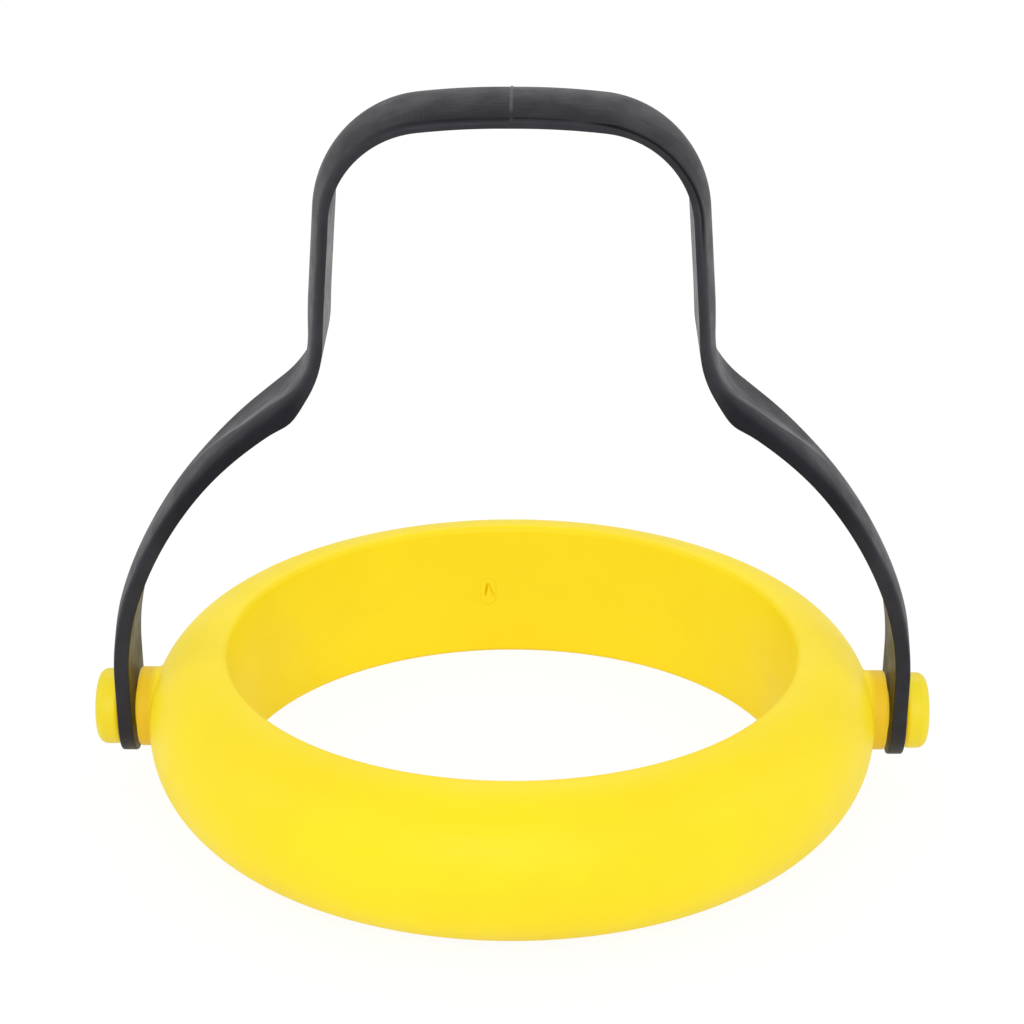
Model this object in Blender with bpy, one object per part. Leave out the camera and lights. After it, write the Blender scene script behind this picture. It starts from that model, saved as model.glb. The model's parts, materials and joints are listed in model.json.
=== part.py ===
"""Hand-held hoop with a swinging bail strap.

Two moulded half shells close into a hollow hoop of D section. On each side they trap
the inner flange of a button peg in a split neck. A one-piece rubber bail hangs by its
two eyes on the peg shanks and swings about them. A small oval plug closes the filling
hole in the hoop's inner wall.

Frame: the origin is on the plane the hoop rests on, under its centre. The hinge axis is
parallel to X, Z is up and the bail leans a little towards -Y. All dimensions are in
metres. The pieces are modelled about the hoop's centre and hang on an empty there.
"""
import math

import bmesh
import bpy
from mathutils import Matrix, Vector

# Hoop
HOOP_OUTER_RADIUS = 0.100
HOOP_INNER_RADIUS = 0.078
HOOP_HEIGHT = 0.042
WALL = 0.003
LIP_RADIUS = 0.0015
LAND_WIDTH = 0.003
HOOP_STEPS = 72

# Clearance between pieces, and the lap joint where the two shells meet
GAP = 0.0003
LAP_DEPTH = 0.00135
LAP_LIP = 0.00135

# Split necks and button pegs, as distances from the hoop's centre along X
NECK_RADIUS = 0.011
NECK_START = 0.093
NECK_END = 0.1032
SHANK_RADIUS = 0.006
BORE_RADIUS = SHANK_RADIUS + GAP
FLANGE_RADIUS = 0.009
FLANGE_THICKNESS = 0.0027
BUTTON_RADIUS = 0.0105
BUTTON_BACK = 0.1087
BUTTON_END = 0.1154
BUTTON_EDGE = 0.003
BUTTON_CROWN = 0.0004
ROUND_STEPS = 32

# Bail strap, with heights measured from the hinge axis along the upright bail
BAIL_LEAN = math.radians(3.0)
BAIL_HEIGHT = 0.1724
CROWN_FLAT_HALF = 0.002
CROWN_RADIUS = 0.189
CROWN_TURN = math.radians(6.5)
CORNER_RADIUS = 0.0261
LEG_HEADING = math.radians(85.5)
LEG_LENGTH = 0.0333
KINK_RADIUS = 0.0300
SHOULDER_HEADING = math.radians(38.9)
ARM_RADIUS = 0.1121
ARM_HEADING = math.radians(68.3)
LOWER_ARM_RADIUS = 0.0744
TAB_MIDDLE_X = 0.1060
EYE_RADIUS = 0.0122

# The strap's section by height: flat inside, with a domed outer face on grip and arms
GRIP_WIDTH = 0.0284
ARM_WIDTH = 0.0220
TAB_WIDTH = 2.0 * EYE_RADIUS
GRIP_WIDTH_BLEND = (0.070, 0.098)
TAB_WIDTH_BLEND = (0.016, 0.050)
GRIP_THICKNESS = 0.0021
ARM_THICKNESS = 0.0037
TAB_THICKNESS = 0.0041
GRIP_BLEND = (0.088, 0.124)
TAB_BLEND = (0.016, 0.060)
GRIP_DOME = 0.0029
ARM_DOME = 0.0012
ARM_DOME_START = (0.012, 0.034)
ARM_DOME_END = (0.068, 0.092)
DOME_STEPS = 6
STRAP_CHAMFER = 0.0006

# Oval filling-hole plug in the inner wall
PLUG_AZIMUTH = math.radians(96.1)
PLUG_HEAD = (0.0042, 0.0086)
PLUG_HEAD_THICKNESS = 0.0007
PLUG_STEM = (0.0028, 0.0072)
PLUG_BARB = (0.0036, 0.0080)
PLUG_BARB_LENGTH = 0.0009
OVAL_STEPS = 8

YELLOW = (1.0, 0.66, 0.012, 1.0)
PEG_YELLOW = (0.93, 0.66, 0.03, 1.0)
CHARCOAL = (0.035, 0.035, 0.040, 1.0)


def clear_scene():
    for item in list(bpy.data.objects):
        bpy.data.objects.remove(item, do_unlink=True)


def make_material(name, colour, roughness):
    material = bpy.data.materials.new(name)
    material.use_nodes = True
    shader = material.node_tree.nodes["Principled BSDF"]
    shader.inputs["Base Color"].default_value = colour
    shader.inputs["Roughness"].default_value = roughness
    shader.inputs["Metallic"].default_value = 0.0
    material.diffuse_color = colour
    return material


def add_empty(name, height, lean=0.0):
    empty = bpy.data.objects.new(name, None)
    empty.location = (0.0, 0.0, height)
    empty.rotation_euler = (lean, 0.0, 0.0)
    bpy.context.collection.objects.link(empty)
    return empty


def add_object(name, bm, parent, material=None):
    """Turn a bmesh into a smooth-shaded object whose faces point outwards."""
    bmesh.ops.recalc_face_normals(bm, faces=bm.faces)
    mesh = bpy.data.meshes.new(name)
    bm.to_mesh(mesh)
    bm.free()
    mesh.shade_smooth()
    mesh.set_sharp_from_angle(angle=math.radians(35.0))
    if material:
        mesh.materials.append(material)
    obj = bpy.data.objects.new(name, mesh)
    obj.parent = parent
    bpy.context.collection.objects.link(obj)
    return obj


def hide_helper(obj):
    obj.hide_render = True
    obj.display_type = "WIRE"
    return obj


def add_boolean(obj, helper, operation):
    modifier = obj.modifiers.new(operation.lower() + "_" + helper.name, "BOOLEAN")
    modifier.operation = operation
    modifier.solver = "EXACT"
    modifier.object = helper


def arc(centre, radii, start, end, steps):
    """Points along an elliptical arc in the section plane, both ends included."""
    points = []
    for index in range(steps + 1):
        angle = start + (end - start) * index / steps
        across = centre[0] + radii[0] * math.cos(angle)
        along = centre[1] + radii[1] * math.sin(angle)
        points.append((across, along))
    return points


def blend(low, high, value):
    """Smooth step that rises from 0 at low to 1 at high."""
    share = min(max((value - low) / (high - low), 0.0), 1.0)
    return share * share * (3.0 - 2.0 * share)


def spin_section(bm, points, axis, closed, steps):
    """Turn a section of 3D points a full circle about an axis through the origin."""
    verts = [bm.verts.new(point) for point in points]
    edges = [bm.edges.new(pair) for pair in zip(verts, verts[1:])]
    if closed:
        edges.append(bm.edges.new((verts[-1], verts[0])))
    bmesh.ops.spin(bm, geom=verts + edges, cent=(0, 0, 0), axis=axis,
                   angle=2.0 * math.pi, steps=steps, use_merge=True)
    bmesh.ops.remove_doubles(bm, verts=bm.verts, dist=1e-6)


# ---- hoop shells ---------------------------------------------------------------------

def shell_outline(lap_step, lap_height):
    """Closed half-hoop section as (radius, height above the seam plane).

    The wall's outer skin starts at the seam. Its inner part, beyond lap_step, starts at
    lap_height: above the seam it leaves a rebate, below it forms a tongue.
    """
    half = HOOP_HEIGHT / 2.0
    seam = GAP / 2.0
    crest = HOOP_INNER_RADIUS + LIP_RADIUS + LAND_WIDTH
    outer = (HOOP_OUTER_RADIUS - crest, half)
    cavity = (HOOP_OUTER_RADIUS - WALL - crest, half - WALL)
    quarter = math.pi / 2.0
    inner_wall = HOOP_INNER_RADIUS + WALL
    points = arc((crest, 0.0), outer, math.asin(seam / half), quarter, 10)
    points += arc((HOOP_INNER_RADIUS + LIP_RADIUS, half - LIP_RADIUS),
                  (LIP_RADIUS, LIP_RADIUS), quarter, 2.0 * quarter, 3)
    points.append((HOOP_INNER_RADIUS, seam))
    points.append((HOOP_INNER_RADIUS + lap_step, seam))
    points.append((HOOP_INNER_RADIUS + lap_step, lap_height))
    points.append((inner_wall, lap_height))
    points.append((inner_wall, half - WALL))
    points += arc((crest, 0.0), cavity, quarter, math.asin(lap_height / cavity[1]), 8)
    points.append((HOOP_OUTER_RADIUS - lap_step, lap_height))
    points.append((HOOP_OUTER_RADIUS - lap_step, seam))
    return points


def half_neck_blanks(side, hoop):
    """Two solid half cylinders on the hinge axis, on the given side of the seam."""
    bm = bmesh.new()
    tilt = math.asin(GAP / 2.0 / NECK_RADIUS)
    outline = arc((0.0, 0.0), (NECK_RADIUS, NECK_RADIUS), tilt, math.pi - tilt, ROUND_STEPS // 2)
    for direction in (-1.0, 1.0):
        start = [bm.verts.new((direction * NECK_START, y, side * z)) for y, z in outline]
        face = bm.faces.new(start)
        run = bmesh.ops.extrude_face_region(bm, geom=[face])
        moved = [item for item in run["geom"] if isinstance(item, bmesh.types.BMVert)]
        length = direction * (NECK_END - NECK_START)
        bmesh.ops.translate(bm, verts=moved, vec=(length, 0, 0))
    name = "upper_neck_blanks" if side > 0 else "lower_neck_blanks"
    return hide_helper(add_object(name, bm, hoop))


def axis_cylinders(name, radius, spans, parent):
    """Helper cylinders along X, one for each (start, end) span."""
    bm = bmesh.new()
    for start, end in spans:
        turn = Matrix.Rotation(math.pi / 2.0, 4, "Y")
        place = Matrix.Translation(((start + end) / 2.0, 0, 0)) @ turn
        bmesh.ops.create_cone(bm, cap_ends=True, segments=ROUND_STEPS, radius1=radius,
                              radius2=radius, depth=abs(end - start), matrix=place)
    return hide_helper(add_object(name, bm, parent))


def tongue_relief(hoop):
    """Boxes that clear the lower shell's tongue, and a little of its rim, at the necks."""
    bm = bmesh.new()
    inner = NECK_START + GAP
    bottom = -GAP
    top = 2.0 * LAP_DEPTH
    half_width = NECK_RADIUS + GAP
    for direction in (-1.0, 1.0):
        size = (NECK_END - inner, 2.0 * half_width, top - bottom)
        centre = (direction * (NECK_END + inner) / 2.0, 0, (top + bottom) / 2.0)
        place = Matrix.Translation(centre) @ Matrix.Diagonal((*size, 1.0))
        bmesh.ops.create_cube(bm, size=1.0, matrix=place)
    return hide_helper(add_object("tongue_relief", bm, hoop))


def make_shell(name, side, material, hoop, cutters):
    if side > 0:
        outline = shell_outline(LAP_LIP, LAP_DEPTH + GAP)
    else:
        outline = shell_outline(LAP_LIP + GAP, -LAP_DEPTH)
    bm = bmesh.new()
    section = [Vector((radius, 0.0, side * height)) for radius, height in outline]
    spin_section(bm, section, (0, 0, 1), True, HOOP_STEPS)
    shell = add_object(name, bm, hoop, material)
    if side < 0:
        add_boolean(shell, tongue_relief(hoop), "DIFFERENCE")
    add_boolean(shell, half_neck_blanks(side, hoop), "UNION")
    for cutter in cutters:
        add_boolean(shell, cutter, "DIFFERENCE")


# ---- button pegs ---------------------------------------------------------------------

def peg_profile():
    """Peg outline as (distance along X, radius), from the flange to the button."""
    flange_start = NECK_START - GAP - FLANGE_THICKNESS
    edge = BUTTON_END - BUTTON_CROWN - BUTTON_EDGE
    profile = [(flange_start, 0.0), (flange_start, FLANGE_RADIUS)]
    profile.append((NECK_START - GAP, FLANGE_RADIUS))
    profile.append((NECK_START - GAP, SHANK_RADIUS))
    profile.append((BUTTON_BACK, SHANK_RADIUS))
    profile.append((BUTTON_BACK, BUTTON_RADIUS - GAP))
    profile.append((BUTTON_BACK + GAP, BUTTON_RADIUS))
    rim = arc((edge, BUTTON_RADIUS - BUTTON_EDGE), (BUTTON_EDGE, BUTTON_EDGE),
              math.pi / 2.0, 0.0, 5)
    profile += rim
    profile.append((BUTTON_END, 0.0))
    return profile


def make_peg(name, direction, material, hoop):
    bm = bmesh.new()
    section = [Vector((direction * x, 0.0, radius)) for x, radius in peg_profile()]
    spin_section(bm, section, (1, 0, 0), False, ROUND_STEPS)
    add_object(name, bm, hoop, material)


# ---- bail strap ----------------------------------------------------------------------

def extend(path, length, turn, steps):
    """Carry the path on by a line or an arc. A station is (x, height, heading)."""
    for _ in range(steps):
        x, height, heading = path[-1]
        half = turn / steps / 2.0
        chord = length / steps
        if turn:
            chord *= math.sin(half) / half
        x += chord * math.cos(heading + half)
        height -= chord * math.sin(heading + half)
        path.append((x, height, heading + 2.0 * half))


def bail_path():
    """Centre line of the bail's right half, from mid-crown down to the hinge axis."""
    path = [(0.0, BAIL_HEIGHT, 0.0)]
    extend(path, CROWN_FLAT_HALF, 0.0, 1)
    extend(path, CROWN_RADIUS * CROWN_TURN, CROWN_TURN, 4)
    turn = LEG_HEADING - CROWN_TURN
    extend(path, CORNER_RADIUS * turn, turn, 10)
    extend(path, LEG_LENGTH, 0.0, 3)
    turn = LEG_HEADING - SHOULDER_HEADING
    extend(path, KINK_RADIUS * turn, -turn, 8)
    rise = math.sin(ARM_HEADING)
    reach = TAB_MIDDLE_X - path[-1][0] - ARM_RADIUS * (rise - math.sin(SHOULDER_HEADING))
    reach -= LOWER_ARM_RADIUS * (1.0 - rise)
    extend(path, reach / math.cos(SHOULDER_HEADING), 0.0, 2)
    turn = ARM_HEADING - SHOULDER_HEADING
    extend(path, ARM_RADIUS * turn, turn, 8)
    turn = math.pi / 2.0 - ARM_HEADING
    extend(path, LOWER_ARM_RADIUS * turn, turn, 6)
    extend(path, path[-1][1], 0.0, 2)
    return path


def strap_width(height):
    width = TAB_WIDTH + (ARM_WIDTH - TAB_WIDTH) * blend(*TAB_WIDTH_BLEND, height)
    width += (GRIP_WIDTH - ARM_WIDTH) * blend(*GRIP_WIDTH_BLEND, height)
    if height < 0.0:
        return 2.0 * math.sqrt(EYE_RADIUS ** 2 - height ** 2)
    return width


def strap_thickness(height):
    thickness = TAB_THICKNESS + (ARM_THICKNESS - TAB_THICKNESS) * blend(*TAB_BLEND, height)
    return thickness + (GRIP_THICKNESS - ARM_THICKNESS) * blend(*GRIP_BLEND, height)


def strap_dome(height):
    """How far the middle of the outer face stands above its edges."""
    arm = blend(*ARM_DOME_START, height) * (1.0 - blend(*ARM_DOME_END, height))
    return ARM_DOME * arm + GRIP_DOME * blend(*GRIP_BLEND, height)


def strap_section(station):
    """Closed section at one station: domed outer face, chamfered edges, flat inside."""
    x, height, heading = station
    half_width = strap_width(height) / 2.0
    half_thickness = strap_thickness(height) / 2.0
    chamfer = min(STRAP_CHAMFER, half_width / 2.0)
    flat = half_width - chamfer
    corners = []
    for index in range(DOME_STEPS + 1):
        share = 2.0 * index / DOME_STEPS - 1.0
        stand = strap_dome(height) * (1.0 - share * share)
        corners.append((share * flat, half_thickness + stand))
    side = [(half_width, half_thickness - chamfer), (half_width, chamfer - half_thickness)]
    side.append((flat, -half_thickness))
    corners += side + [(-y, out) for y, out in reversed(side)]
    outward = Vector((math.sin(heading), 0.0, math.cos(heading)))
    centre = Vector((x, 0.0, height))
    return [centre + outward * out + Vector((0.0, y, 0.0)) for y, out in corners]


def make_strap(material, hinge):
    path = bail_path()
    for degrees in (15, 30, 45, 60, 72, 83):
        drop = EYE_RADIUS * math.sin(math.radians(degrees))
        path.append((TAB_MIDDLE_X, -drop, math.pi / 2.0))
    bm = bmesh.new()
    loops = [[bm.verts.new(point) for point in strap_section(station)] for station in path]
    for near, far in zip(loops, loops[1:]):
        for index in range(len(near)):
            after = (index + 1) % len(near)
            bm.faces.new((near[index], near[after], far[after], far[index]))
    bm.faces.new(loops[-1])
    strap = add_object("handle_strap", bm, hinge, material)
    mirror = strap.modifiers.new("left_half", "MIRROR")
    mirror.use_axis = (True, False, False)
    mirror.use_clip = True
    mirror.merge_threshold = 0.00001
    eye_bore = axis_cylinders("eye_bore", BORE_RADIUS, [(-BUTTON_END, BUTTON_END)], hinge)
    add_boolean(strap, eye_bore, "DIFFERENCE")


# ---- filling-hole plug ---------------------------------------------------------------

def oval(width, height):
    """Upright oval outline, two half circles joined by straight sides."""
    radius = width / 2.0
    rise = height / 2.0 - radius
    top = arc((0.0, rise), (radius, radius), 0.0, math.pi, OVAL_STEPS)
    bottom = arc((0.0, -rise), (radius, radius), math.pi, 2.0 * math.pi, OVAL_STEPS)
    return top + bottom


def stepped_oval(name, levels, hoop, material=None):
    """Solid of oval sections at increasing distances from the hoop's axis."""
    bm = bmesh.new()
    loops = []
    for distance, size in levels:
        loops.append([bm.verts.new((distance, -u, v)) for u, v in oval(*size)])
    for near, far in zip(loops, loops[1:]):
        for index in range(len(near)):
            after = (index + 1) % len(near)
            bm.faces.new((near[index], near[after], far[after], far[index]))
    bm.faces.new(loops[0])
    bm.faces.new(loops[-1])
    obj = add_object(name, bm, hoop, material)
    obj.rotation_euler = (0.0, 0.0, PLUG_AZIMUTH)
    return obj


def grown(size, margin):
    return tuple(side + 2.0 * margin for side in size)


def plug_hole_cutter(hoop):
    recess_floor = HOOP_INNER_RADIUS + PLUG_HEAD_THICKNESS + GAP
    levels = [(HOOP_INNER_RADIUS - WALL, grown(PLUG_HEAD, GAP)),
              (recess_floor, grown(PLUG_HEAD, GAP)),
              (recess_floor, grown(PLUG_STEM, GAP)),
              (HOOP_INNER_RADIUS + 2.0 * WALL, grown(PLUG_STEM, GAP))]
    return hide_helper(stepped_oval("plug_hole", levels, hoop))


def make_plug(material, hoop):
    head_back = HOOP_INNER_RADIUS + PLUG_HEAD_THICKNESS
    barb_start = HOOP_INNER_RADIUS + WALL + GAP
    levels = [(HOOP_INNER_RADIUS, PLUG_HEAD),
              (head_back, PLUG_HEAD),
              (head_back, PLUG_STEM),
              (barb_start, PLUG_STEM),
              (barb_start, PLUG_BARB),
              (barb_start + PLUG_BARB_LENGTH, PLUG_STEM)]
    stepped_oval("vent_plug", levels, hoop, material)


def build():
    clear_scene()
    hoop = add_empty("hoop_centre", HOOP_HEIGHT / 2.0)
    hinge = add_empty("bail_hinge", HOOP_HEIGHT / 2.0, BAIL_LEAN)
    bore_spans = [(-BUTTON_END, WALL - NECK_START), (NECK_START - WALL, BUTTON_END)]
    neck_bore = axis_cylinders("neck_bore", BORE_RADIUS, bore_spans, hoop)
    cutters = [neck_bore, plug_hole_cutter(hoop)]
    upper = make_material("upper_shell_yellow", YELLOW, 0.35)
    lower = make_material("lower_shell_yellow", YELLOW, 0.35)
    make_shell("ring_upper_shell", 1.0, upper, hoop, cutters)
    make_shell("ring_lower_shell", -1.0, lower, hoop, cutters)
    left = make_material("left_peg_yellow", PEG_YELLOW, 0.35)
    right = make_material("right_peg_yellow", PEG_YELLOW, 0.35)
    make_peg("left_button_peg", -1.0, left, hoop)
    make_peg("right_button_peg", 1.0, right, hoop)
    make_plug(make_material("plug_yellow", PEG_YELLOW, 0.45), hoop)
    make_strap(make_material("strap_rubber", CHARCOAL, 0.6), hinge)


build()
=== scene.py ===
import json
import math

import bmesh
import bpy
import numpy as np
from mathutils import Matrix, Vector
from mathutils.kdtree import KDTree


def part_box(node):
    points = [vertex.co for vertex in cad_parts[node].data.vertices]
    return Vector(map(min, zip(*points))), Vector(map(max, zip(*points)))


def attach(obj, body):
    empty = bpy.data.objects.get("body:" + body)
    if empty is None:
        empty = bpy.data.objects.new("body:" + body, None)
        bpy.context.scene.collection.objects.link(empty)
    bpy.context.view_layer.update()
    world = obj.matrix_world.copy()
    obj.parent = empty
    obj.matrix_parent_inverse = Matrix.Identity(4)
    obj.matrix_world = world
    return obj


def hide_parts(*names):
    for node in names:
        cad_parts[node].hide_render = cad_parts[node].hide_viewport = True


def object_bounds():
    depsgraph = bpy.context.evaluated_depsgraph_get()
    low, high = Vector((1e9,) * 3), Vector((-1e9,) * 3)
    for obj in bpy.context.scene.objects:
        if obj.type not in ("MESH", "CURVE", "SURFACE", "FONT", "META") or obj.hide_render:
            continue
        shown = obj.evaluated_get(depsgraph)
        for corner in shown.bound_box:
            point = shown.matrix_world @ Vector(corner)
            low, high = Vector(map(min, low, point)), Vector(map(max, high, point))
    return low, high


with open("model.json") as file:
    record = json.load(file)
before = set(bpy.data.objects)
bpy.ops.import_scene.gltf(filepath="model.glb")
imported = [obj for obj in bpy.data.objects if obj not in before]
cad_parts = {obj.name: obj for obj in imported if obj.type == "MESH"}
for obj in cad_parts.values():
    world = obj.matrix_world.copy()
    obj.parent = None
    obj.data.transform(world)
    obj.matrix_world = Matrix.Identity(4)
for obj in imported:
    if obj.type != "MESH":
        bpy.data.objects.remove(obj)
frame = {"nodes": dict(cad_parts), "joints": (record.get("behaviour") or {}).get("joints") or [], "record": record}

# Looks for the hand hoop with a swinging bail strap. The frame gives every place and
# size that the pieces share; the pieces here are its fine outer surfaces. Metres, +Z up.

MM = 0.001
CAD_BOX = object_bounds()

# ---- places and sizes read from the frame --------------------------------------------
MOUNTS = {mount["name"]: mount for mount in frame["record"]["mounts"]}
HINGE = Vector(frame["joints"][0]["pos_m"])
_, UPPER_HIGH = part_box("ring_upper_shell")
_, PEG_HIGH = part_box("right_button_peg")
_, STRAP_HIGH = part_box("handle_strap")
PLUG_LOW, PLUG_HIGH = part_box("vent_plug")
HOOP_RADIUS = UPPER_HIGH.y
HOOP_HALF = UPPER_HIGH.z - HINGE.z
NECK_END = UPPER_HIGH.x
BUTTON_RADIUS = PEG_HIGH.z - HINGE.z
BUTTON_END = PEG_HIGH.x
TAB_OUTER_X = STRAP_HIGH.x
PLUG_AZIMUTH = math.atan2(PLUG_LOW.y + PLUG_HIGH.y, PLUG_LOW.x + PLUG_HIGH.x)
GRIP_NORMAL = Vector(MOUNTS["grip_underside"]["axis"])
BAIL_LEAN = math.atan2(GRIP_NORMAL.y, -GRIP_NORMAL.z)
GRIP_UNDERSIDE = (Vector(MOUNTS["grip_underside"]["pos_m"]) - HINGE).length


def inner_radius(node):
    """Smallest distance of a node's vertices from the hoop's axis."""
    return min(math.hypot(v.co.x, v.co.y) for v in frame["nodes"][node].data.vertices)


BORE_OF_HOOP = inner_radius("ring_upper_shell")

# ---- design values: hoop -------------------------------------------------------------
WALL = 3.0 * MM
LIP_RADIUS = 1.8 * MM
SECTION_POWER = 2.07
SEAM_OVERRUN = 2.0 * MM
HOOP_STEPS = 256
NECK_RADIUS = 11.0 * MM
NECK_REACH = 10.2 * MM
NECK_HUB = 0.4 * NECK_RADIUS
NECK_FILLET = 0.8 * MM
NECK_FLARE = math.radians(78.0)
NECK_FOOT = 0.95 * NECK_FILLET
NECK_RIM = 0.5 * MM
NECK_STEPS = 128
BORE_RADIUS = 6.3 * MM
BORE_STEPS = 64
BULGE_STEPS = 40
LIP_STEPS = 8
INNER_WALL_STEPS = 13
CAVITY_STEPS = 12

# ---- design values: pegs and plug ----------------------------------------------------
SHANK_RADIUS = 6.0 * MM
FLANGE_RADIUS = 9.0 * MM
FLANGE_THICKNESS = 2.7 * MM
FLANGE_GAP = 0.3 * MM
BUTTON_THICKNESS = 6.7 * MM
BUTTON_CROWN = 0.45 * MM
BUTTON_EDGE = 3.1 * MM
BUTTON_EDGE_REACH = 2.6 * MM
BUTTON_EDGE_END = 0.12
BUTTON_BACK_EDGE = 1.2 * MM
BUTTON_STEPS = 96
GATE_RADIUS = 1.1 * MM
GATE_DEPTHS = (0.12 * MM, 0.18 * MM)
SHADE_ANGLE = 32.0
PLUG_STRAIGHT = 4.4 * MM
PLUG_HEAD_WIDTH = 4.56 * MM
PLUG_HEAD_THICKNESS = 0.7 * MM
PLUG_STEM_WIDTH = 2.8 * MM
PLUG_BARB_WIDTH = 3.6 * MM
RECESS_WIDTH = 4.6 * MM
RECESS_DEPTH = 1.0 * MM
RECESS_HOLE_WIDTH = 3.4 * MM

# ---- design values: strap ------------------------------------------------------------
TAB_THICKNESS = 4.1 * MM
ARM_THICKNESS = 3.7 * MM
GRIP_THICKNESS = 2.1 * MM
GRIP_WIDTH = 28.4 * MM
ARM_WIDTH = 22.0 * MM
EYE_RADIUS = 12.2 * MM
GRIP_DOME = 2.9 * MM
ARM_DOME = 1.2 * MM
CREST_STAND = 1.3 * MM
DISH_DEPTH = 0.8 * MM
HEEL_STAND = 0.8 * MM
HEEL_RUN = 115.5 * MM
HEEL_LENGTH = 4.5 * MM
SEAM_DEPTH = 0.45 * MM
SEAM_LENGTH = 0.24 * MM
RIB_HEIGHT = 0.05 * MM
RIB_PITCH = 1.3 * MM
PARTING_HEIGHT = 0.30 * MM
PARTING_LENGTH = 0.26 * MM
CREST_HIGHLIGHT_WIDTH = 0.06
CROWN_FLAT = 2.0 * MM
CROWN_RADIUS = 189.0 * MM
CROWN_TURN = math.radians(6.5)
CORNER_RADIUS = 26.1 * MM
LEG_HEADING = math.radians(85.5)
LEG_LENGTH = 33.3 * MM
KINK_RADIUS = 30.0 * MM
SHOULDER_HEADING = math.radians(38.9)
ARM_RADIUS = 112.1 * MM
ARM_HEADING = math.radians(68.3)
LOWER_ARM_RADIUS = 74.4 * MM
STRAP_EDGE = 0.45 * MM
SOFT_EDGE = 0.95 * MM
LEG_CORNER = 1.6 * MM
SHOULDER_CORNER = 2.4 * MM
ARM_CORNER = 1.0 * MM
STRAP_SHADE_ANGLE = 40.0
FACE_STEPS = 96
INSIDE_STEPS = 12
EDGE_STEPS = 30

# Shares of an edge's points on its outer corner, flat band and inner corner.
EDGE_OUTER_CORNER = 0.45
EDGE_FLAT = 0.35
EDGE_INNER_CORNER = 0.2

# ---- small helpers -------------------------------------------------------------------

def rise(low, high, value):
    """Smooth step from 0 at low to 1 at high, for numbers and arrays."""
    share = np.clip((value - low) / (high - low), 0.0, 1.0)
    return share * share * (3.0 - 2.0 * share)


def within(start, end, value):
    """Smooth window that opens over the start range and closes over the end range."""
    return rise(*start, value) * (1.0 - rise(*end, value))


def millimetres(low, high):
    """A range given in millimetres, in metres."""
    return low * MM, high * MM


def arc(centre, radii, start, end, steps):
    """Points along an elliptical arc, both ends included."""
    angles = np.linspace(start, end, steps + 1)
    across = centre[0] + radii[0] * np.cos(angles)
    along = centre[1] + radii[1] * np.sin(angles)
    return list(zip(across, along))


def make_piece(name, points, faces):
    """New object from points and faces, welded, with its faces pointing out."""
    mesh = bpy.data.meshes.new(name)
    mesh.from_pydata([tuple(point) for point in points], [], faces)
    bm = bmesh.new()
    bm.from_mesh(mesh)
    bmesh.ops.remove_doubles(bm, verts=bm.verts, dist=1e-7)
    bmesh.ops.recalc_face_normals(bm, faces=bm.faces)
    bm.to_mesh(mesh)
    bm.free()
    piece = bpy.data.objects.new(name, mesh)
    bpy.context.collection.objects.link(piece)
    return piece


def loft(name, loops, closed):
    """Skin a list of equal point loops. Open lofts are capped at both ends."""
    count = len(loops[0])
    faces = []
    spans = len(loops) if closed else len(loops) - 1
    for row in range(spans):
        after_row = (row + 1) % len(loops)
        for index in range(count):
            after = (index + 1) % count
            faces.append((row * count + index, row * count + after,
                          after_row * count + after, after_row * count + index))
    if not closed:
        faces.append(tuple(range(count)))
        faces.append(tuple(range((len(loops) - 1) * count, len(loops) * count)))
    return make_piece(name, [point for loop in loops for point in loop], faces)


def turned(name, profile, steps):
    """Solid of revolution about X from (x, radius) points that start and end on the axis."""
    loops = []
    for x, radius in profile:
        angles = np.arange(steps) * 2.0 * math.pi / steps
        loops.append([(x, radius * math.cos(a), radius * math.sin(a)) for a in angles])
    return loft(name, loops, False)


def cut(piece, helper, operation="DIFFERENCE"):
    """Apply one Boolean to a piece and drop the helper."""
    modifier = piece.modifiers.new(operation.lower(), "BOOLEAN")
    modifier.operation = operation
    modifier.solver = "EXACT"
    modifier.object = helper
    bpy.context.view_layer.update()
    graph = bpy.context.evaluated_depsgraph_get()
    mesh = bpy.data.meshes.new_from_object(piece.evaluated_get(graph))
    piece.modifiers.clear()
    old = piece.data
    piece.data = mesh
    bpy.data.meshes.remove(old)
    bpy.data.objects.remove(helper)


def shade(piece, angle):
    """Smooth shading with sharp edges over an angle in degrees."""
    piece.data.shade_smooth()
    piece.data.set_sharp_from_angle(angle=math.radians(angle))


def settle(piece, body, material, nodes):
    """Hand a finished piece to the frame in place of its CAD nodes."""
    piece.data.materials.clear()
    piece.data.materials.append(material)
    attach(piece, body)
    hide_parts(*nodes)


# ---- hoop ----------------------------------------------------------------------------

CREST = BORE_OF_HOOP + LIP_RADIUS
SECTION_REACH = HOOP_RADIUS - CREST


def hoop_surface(height):
    """Radius of the hoop's bulging outer wall at a height from its middle plane."""
    share = min(abs(height) / HOOP_HALF, 1.0)
    return CREST + SECTION_REACH * (1.0 - share ** SECTION_POWER) ** (1.0 / SECTION_POWER)


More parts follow.
